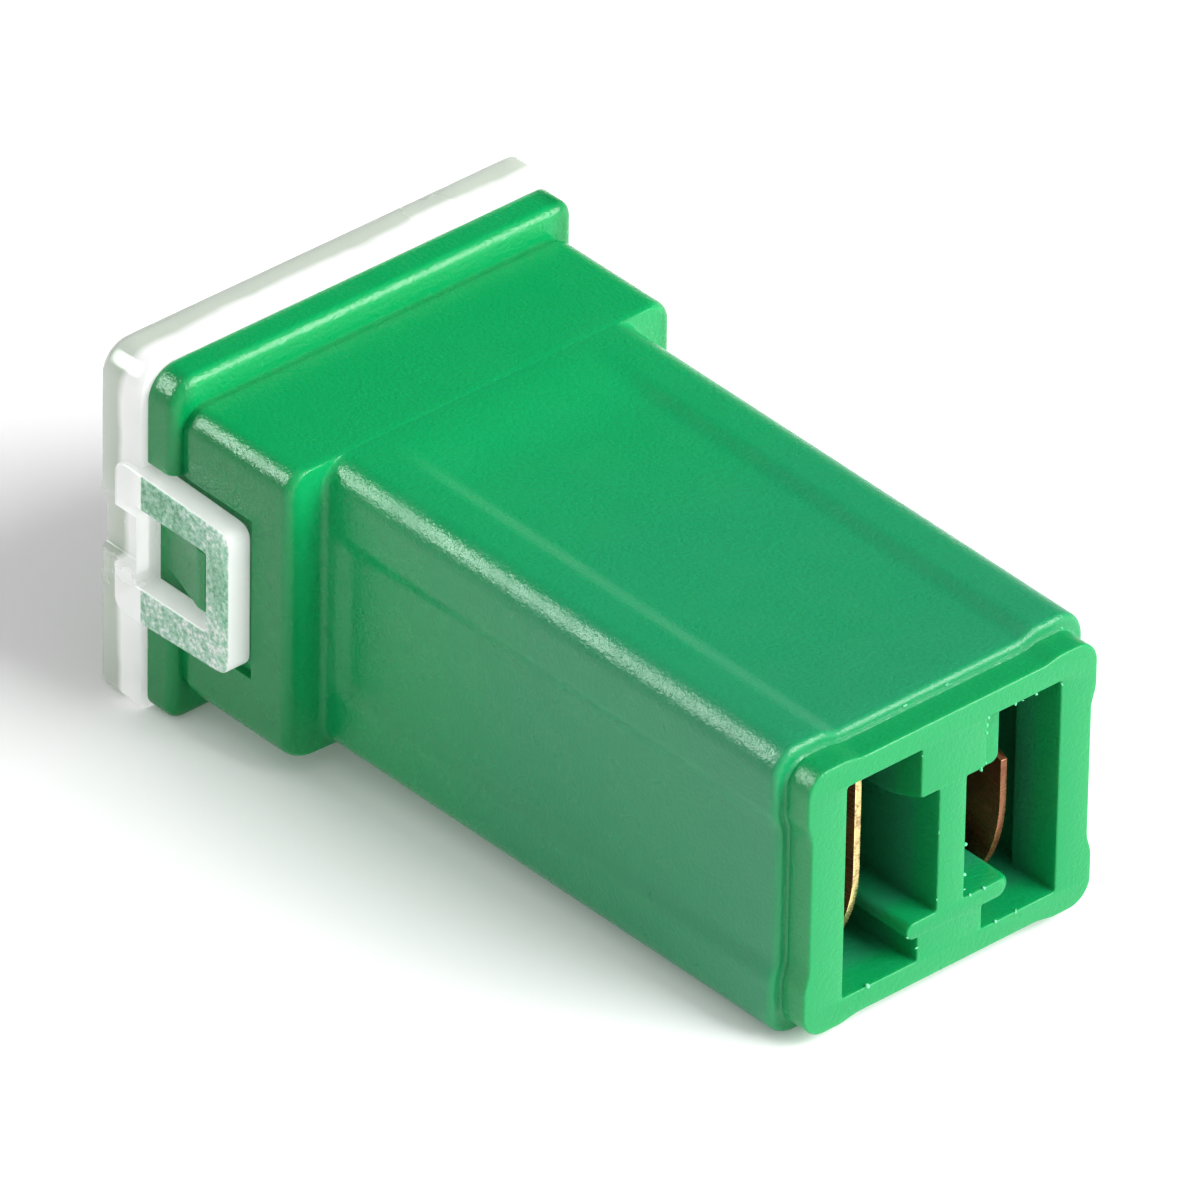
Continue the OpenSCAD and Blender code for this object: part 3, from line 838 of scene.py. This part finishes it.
# %% [markdown]
# ## The clear cover
#
# The cover is a shallow lid. Rings of rounded rectangles run over its outside, round the rim, into
# the pocket behind the window and down the skirt that centres it. Real fillets matter here more than
# anywhere, because a clear part is seen almost only by its edges.

# %% Cover shell
COVER_H, PLATE = 1.85, 0.85


def box_ring(x, low_y, high_y, low_z, high_z, r, key_r):
    """A rounded rectangle between those sides, with its own radius at the top near corner."""
    outline = arc_points(high_y - r, high_z - r, r, 0, 90, 8)
    outline += arc_points(low_y + key_r, high_z - key_r, key_r, 90, 180, 8)
    outline += arc_points(low_y + r, low_z + r, r, 180, 270, 8)
    outline += arc_points(high_y - r, low_z + r, r, 270, 360, 8)
    return [at(x, y, z) for y, z in outline]


def stack(name, rings, material):
    """A closed mesh over rings of equal count, with flat ends."""
    points, faces = [], []
    size = len(rings[0])
    for one in rings:
        points += one
    for k in range(len(rings) - 1):
        bridge(faces, k * size, (k + 1) * size, size)
    faces.append(tuple(range(size)))
    faces.append(tuple(range((len(rings) - 1) * size, len(rings) * size)))
    return mesh_object(name, points, faces, material)


COVER_NEAR, COVER_FAR, COVER_Z = -7.68, 7.86, 5.8
COVER_R, COVER_KEY_R, COVER_EDGE = 0.45, 1.0, 0.32
SKIRT_Y, SKIRT_Z, SKIRT_R = 5.93, 3.97, 0.42
WINDOW_X = PLATE - COVER_H


def shell_ring(x, inset):
    """A ring of the cover's outside or of its pocket, that much smaller on all sides."""
    return box_ring(
        x, COVER_NEAR + inset, COVER_FAR - inset, inset - COVER_Z, COVER_Z - inset,
        max(COVER_R - inset, 0.08), max(COVER_KEY_R - inset, 0.08),
    )


rings = []
for k in range(7):
    a = math.pi / 2 * k / 6
    rings.append(shell_ring(
        -COVER_H + COVER_EDGE * (1 - math.cos(a)), COVER_EDGE * (1 - math.sin(a)),
    ))
for x, inset in ((-1.2, 0), (-0.6, 0), (-0.06, 0), (-0.02, 0.02), (0, 0.06), (0, 1.3), (-0.04, 1.35),
                 (WINDOW_X + 0.1, 1.36), (WINDOW_X + 0.02, 1.4)):
    rings.append(shell_ring(x, inset))
for x, inset in ((WINDOW_X, 0), (0.84, 0), (0.88, 0.02), (0.9, 0.06), (0.9, 0.54), (0.88, 0.58),
                 (0.84, 0.6), (WINDOW_X + 0.05, 0.6), (WINDOW_X, 0.65)):
    y, z, r = SKIRT_Y - inset, SKIRT_Z - inset, max(SKIRT_R - inset, 0.15)
    rings.append(box_ring(x, -y, y, -z, z, r, r))
cover = stack("clear_cover", rings, CLEAR)
print("cover shell faces:", len(cover.data.polygons))

# %% [markdown]
# ## Two latch loops from one node tree
#
# The two loops are the same part of the moulding, turned half round the fuse's axis. That is work for
# Geometry Nodes: one tree draws the outline as a curve, rounds its corners, takes the window out,
# gives it its thickness and sets a second copy on the other side. Each size is an input of the tree.


# %% The tree of the latch loops
def latch_tree():
    """Both latch loops. Its sizes are in millimetres, and its last step brings them into the frame."""
    tree, given, node, result = node_tree("latch_loops", [
        ("Root X", "NodeSocketFloat", -0.9),
        ("Length", "NodeSocketFloat", 4.05),
        ("Root Height", "NodeSocketFloat", 5.1),
        ("Tip Height", "NodeSocketFloat", 4.75),
        ("Corner Radius", "NodeSocketFloat", 0.45),
        ("Window Start", "NodeSocketFloat", 0.0),
        ("Window Height", "NodeSocketFloat", 2.65),
        ("Bar Width", "NodeSocketFloat", 1.0),
        ("Inner Y", "NodeSocketFloat", 7.06),
        ("Thickness", "NodeSocketFloat", 0.84),
        ("Material", "NodeSocketMaterial", None),
    ])
    half_root = calc(node, "MULTIPLY", given["Root Height"], 0.5)
    half_tip = calc(node, "MULTIPLY", given["Tip Height"], 0.5)
    half_window = calc(node, "MULTIPLY", given["Window Height"], 0.5)
    window_end = calc(node, "SUBTRACT", given["Length"], given["Bar Width"])

    def corner(x, z, sign):
        z = calc(node, "MULTIPLY", z, sign)
        return node("ShaderNodeCombineXYZ", {"X": x, "Y": z}).outputs[0]

    def quad(x0, z0, x1, z1, radius):
        shape = node("GeometryNodeCurvePrimitiveQuadrilateral", {
            "Point 1": corner(x0, z0, -1), "Point 2": corner(x1, z1, -1),
            "Point 3": corner(x1, z1, 1), "Point 4": corner(x0, z0, 1),
        }, mode="POINTS")
        return node("GeometryNodeFilletCurve", {
            "Curve": shape.outputs[0], "Count": 6, "Radius": radius, "Limit Radius": True,
        }, mode="POLY").outputs[0]

    outline = quad(given["Root X"], half_root, given["Length"], half_tip, given["Corner Radius"])
    window = quad(given["Window Start"], half_window, window_end, half_window, 0.08)
    both = node("GeometryNodeJoinGeometry")
    tree.links.new(outline, both.inputs[0])
    tree.links.new(window, both.inputs[0])
    flat = node("GeometryNodeFillCurve", {"Curve": both.outputs[0]}, mode="NGONS")
    thick = node("GeometryNodeExtrudeMesh", {
        "Mesh": flat.outputs[0], "Offset": (0, 0, 1), "Offset Scale": given["Thickness"],
        "Individual": False,
    })
    base = node("GeometryNodeFlipFaces", {"Mesh": flat.outputs[0]})
    solid = node("GeometryNodeJoinGeometry")
    tree.links.new(thick.outputs[0], solid.inputs[0])
    tree.links.new(base.outputs[0], solid.inputs[0])
    merged = node("GeometryNodeMergeByDistance", {"Geometry": solid.outputs[0], "Distance": 0.0001})
    lift = node("ShaderNodeCombineXYZ", {"Z": given["Inner Y"]})
    raised = node("GeometryNodeTransform", {
        "Geometry": merged.outputs[0], "Translation": lift.outputs[0],
    })
    pair = node("GeometryNodeJoinGeometry")
    for turn in (-90, 90):
        stood = node("GeometryNodeTransform", {
            "Geometry": raised.outputs[0], "Rotation": (math.radians(turn), 0, 0),
        })
        tree.links.new(stood.outputs[0], pair.inputs[0])
    scaled = node("GeometryNodeTransform", {
        "Geometry": pair.outputs[0], "Scale": (MM, MM, MM), "Translation": tuple(at(0, 0, 0)),
    })
    real = node("GeometryNodeRealizeInstances", {"Geometry": scaled.outputs[0]})
    painted = node("GeometryNodeSetMaterial", {
        "Geometry": real.outputs[0], "Material": given["Material"],
    })
    tree.links.new(painted.outputs[0], result)
    return tree


loops = grow_from(latch_tree(), "latch_loops", {"Material": CLEAR})
soften(loops, 0.07, 3)
print("latch loops:", len(loops.data.polygons), "faces, box",
      [round(v / MM, 2) for v in loops.dimensions])


# %% [markdown]
# The cover is one moulding, so its loops and its two inner pads are joined to the shell and not just
# set against it. A boolean is right here: the parts are simple and closed, and their edges are round
# already. A relief groove in each narrow side of the rim is taken away the same way.

# %% Join the cover
def soft_block(name, x0, x1, y0, y1, z0, z1, edge):
    """A block with rounded edges."""
    corners = [at(x, y, z) for x in (x0, x1) for y in (y0, y1) for z in (z0, z1)]
    quads = [(0, 1, 3, 2), (4, 6, 7, 5), (0, 4, 5, 1), (2, 3, 7, 6), (0, 2, 6, 4), (1, 5, 7, 3)]
    return soften(mesh_object(name, corners, quads, CLEAR), edge, 3)


PAD_Y, PAD_T, PAD_END, PAD_Z = 3.35, 0.9, 2.2, 1.7
GROOVE_IN, GROOVE_OUT, GROOVE_Z = 7.35, 8.5, 1.0
join_solids(cover, loops, "UNION")
for sign in (-1, 1):
    y0, y1 = sign * PAD_Y - PAD_T / 2, sign * PAD_Y + PAD_T / 2
    pad = soft_block("pad", WINDOW_X - 0.2, PAD_END, y0, y1, -PAD_Z, PAD_Z, 0.05)
    join_solids(cover, pad, "UNION")
    y0, y1 = sorted((sign * GROOVE_IN, sign * GROOVE_OUT))
    groove = soft_block("groove", -COVER_H - 0.5, -0.001, y0, y1, -GROOVE_Z, GROOVE_Z, 0.06)
    join_solids(cover, groove, "DIFFERENCE")
smooth(cover, 35)
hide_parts("cover")
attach(cover, "root")
print("cover faces:", len(cover.data.polygons))

# %% [markdown]
# ## The fuse element
#
# The folded sheet is right as the solid model has it, but its edges are razor sharp, and a sharp edge
# never catches light. A copy with merged points gets a small bevel, as a stamped edge has. The far
# receptacle sits a little differently in the photo: the upper corner of its spring is hidden, and so
# is the outer leaf, so the copy is trimmed there. Each face also notes whether it is a cut edge, for
# the metal's colours. The pellet is pressed tin, and its solid stays as it is.


# %% Soft edges on the stamped sheet
SPRING_FROM, SPRING_TO, LEAF_FROM = 2.2, 3.5, 3.6
CREST_X, TIP_X, SPRING_TOP = 22.05, 24.55, 1.5
CREST_Z, TIP_Z = 1.4, 1.0
LEAF_END, LEAF_SHORTER = 23.0, 2.2
SHEET_SIDE, ROUNDED_RIM = 0.85, 0.15
RIM_CUT, END_CUT, FAR_EDGE_PAINTED_SHADE = 1.0, 0.7, 0.12


def trim_far_receptacle(bm):
    """Lowers the upper corner of the far spring's tip and ends the far outer leaf earlier."""
    for point in bm.verts:
        x, y, z = point.co.x / MM - SEAT_X, point.co.y / MM, point.co.z / MM - AXIS_Z
        on_spring, on_leaf = SPRING_FROM < y < SPRING_TO, y > LEAF_FROM
        if on_spring and x > CREST_X and z > SPRING_TOP:
            point.co.z = (AXIS_Z + (TIP_Z if x > TIP_X else CREST_Z)) * MM
        if on_leaf and x > LEAF_END:
            point.co.x -= LEAF_SHORTER * MM


def cut_edge_share(face):
    """How freshly cut a face looks: the sheet's sides not at all, its rounded rims most of all, and
    the far receptacle's edges dimmed as painted shade.
    """
    across = abs(face.normal.y)
    if across > SHEET_SIDE:
        return 0.0
    fresh = RIM_CUT if across > ROUNDED_RIM else END_CUT
    # Painted shade: the cut edges of the far receptacle are dimmed.
    return fresh * (FAR_EDGE_PAINTED_SHADE if face.center.y > 0 else 1.0)


def softened(node_name, name, width, material):
    """A copy of a CAD node with merged points and small rounded edges."""
    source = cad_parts[node_name]
    piece = bpy.data.objects.new(name, source.data.copy())
    bpy.context.scene.collection.objects.link(piece)
    bm = bmesh.new()
    bm.from_mesh(piece.data)
    bmesh.ops.remove_doubles(bm, verts=bm.verts, dist=1e-6)
    bmesh.ops.dissolve_limit(bm, angle_limit=math.radians(1), verts=bm.verts, edges=bm.edges)
    trim_far_receptacle(bm)
    bm.to_mesh(piece.data)
    bm.free()
    piece.data.materials.clear()
    piece.data.materials.append(material)
    soften(piece, width, 2)
    smooth(piece, 35)
    cut = piece.data.attributes.new("cut_edge", "FLOAT", "FACE")
    for face in piece.data.polygons:
        cut.data[face.index].value = cut_edge_share(face)
    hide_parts(node_name)
    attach(piece, "root")
    return piece


element = softened("fuse_element", "stamped_element", 0.05, COPPER)
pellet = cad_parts["tin_pellet"]
for slot in pellet.material_slots:
    slot.material = TIN
print("element faces:", len(element.data.polygons))
print("pellet:", [slot.name for slot in pellet.material_slots])

# %% [markdown]
# ## Floor and light
#
# The fuse lies on a plain white table. It rests on the lower edge of its cover and on the end of the
# plug body, so the table leans by two degrees against the model's own frame. The room is white all
# round, with one dark corner that the top face mirrors, which keeps its green deep. A soft box at the
# right lights the mating end. A narrow one at the left is only mirrored and lights nothing else: it
# draws the long highlight on the near edge. The table glows faintly, to keep its shadow soft.

# %% Floor
front = at(BODY_END, 0, -THICK)
rear = at(-COVER_H + 0.3, 0, -AXIS_Z)
lean = (front.z - rear.z) / (front.x - rear.x)
SIZE = 1.5
corners = [(x * SIZE, y * SIZE, rear.z + lean * (x * SIZE - rear.x))
           for x, y in ((-1, -1), (1, -1), (1, 1), (-1, 1))]
floor = mesh_object("table", corners, [(0, 1, 2, 3)])
white, node, output = new_material("white_table")
haze = noise(node, node("ShaderNodeTexCoord").outputs["Object"], 40, 2)
paper = ramp(node, haze, [(0.3, (0.93, 0.93, 0.93, 1)), (0.7, (0.95, 0.95, 0.95, 1))])
matt = node("ShaderNodeBsdfPrincipled", {
    "Base Color": paper, "Roughness": 0.9, "Specular IOR Level": 0.1,
    "Emission Color": (1, 1, 1, 1), "Emission Strength": 0.1,
})
white.node_tree.links.new(matt.outputs["BSDF"], output.inputs["Surface"])
floor.data.materials.append(white)
print("table leans", round(math.degrees(math.atan(lean)), 2), "degrees")


# %% Lights
def soft_box(name, towards, distance, along, size, power, colour=(1, 1, 1)):
    """An area light that shines at the fuse from one direction, with its first side along another."""
    light = bpy.data.lights.new(name, "AREA")
    light.shape = "RECTANGLE"
    light.size, light.size_y = size
    light.energy = power
    light.color = colour
    lamp = bpy.data.objects.new(name, light)
    bpy.context.scene.collection.objects.link(lamp)
    z = Vector(towards).normalized()
    y = z.cross(Vector(along)).normalized()
    turned = Matrix((y.cross(z), y, z)).transposed()
    lamp.matrix_world = Matrix.Translation(z * distance) @ turned.to_4x4()
    return lamp


soft_box(
    "key_box", towards=(0.72, 0.36, 0.58), distance=0.45, along=(0, 1, 0),
    size=(0.33, 0.33), power=3.9,
)
edge_box = soft_box(
    "edge_box", towards=(-0.614, -0.564, 0.552), distance=0.4, along=(0, -0.7, -0.714),
    size=(0.24, 0.12), power=1.7, colour=(0.82, 1.0, 0.88),
)
edge_box.visible_diffuse = False


DARK_CORNER = Vector((-0.614, 0.42, 0.66)).normalized()


def studio_world(strength):
    """White all round, with one dark corner of the room that the top face mirrors."""
    world = bpy.data.worlds.new("studio")
    world.use_nodes = True
    node = node_maker(world.node_tree)
    towards = node("ShaderNodeTexCoord").outputs["Generated"]
    nearness = node("ShaderNodeVectorMath", {0: towards, 1: DARK_CORNER}, operation="DOT_PRODUCT")
    shade = ramp(node, nearness.outputs["Value"], [
        (0.72, (1, 1, 1, 1)),
        (0.93, (0.12, 0.12, 0.12, 1)),
    ])
    background = world.node_tree.nodes["Background"]
    world.node_tree.links.new(shade, background.inputs["Color"])
    background.inputs["Strength"].default_value = strength
    return world


scene = bpy.context.scene
scene.world = studio_world(0.62)
scene.view_settings.view_transform = "Standard"
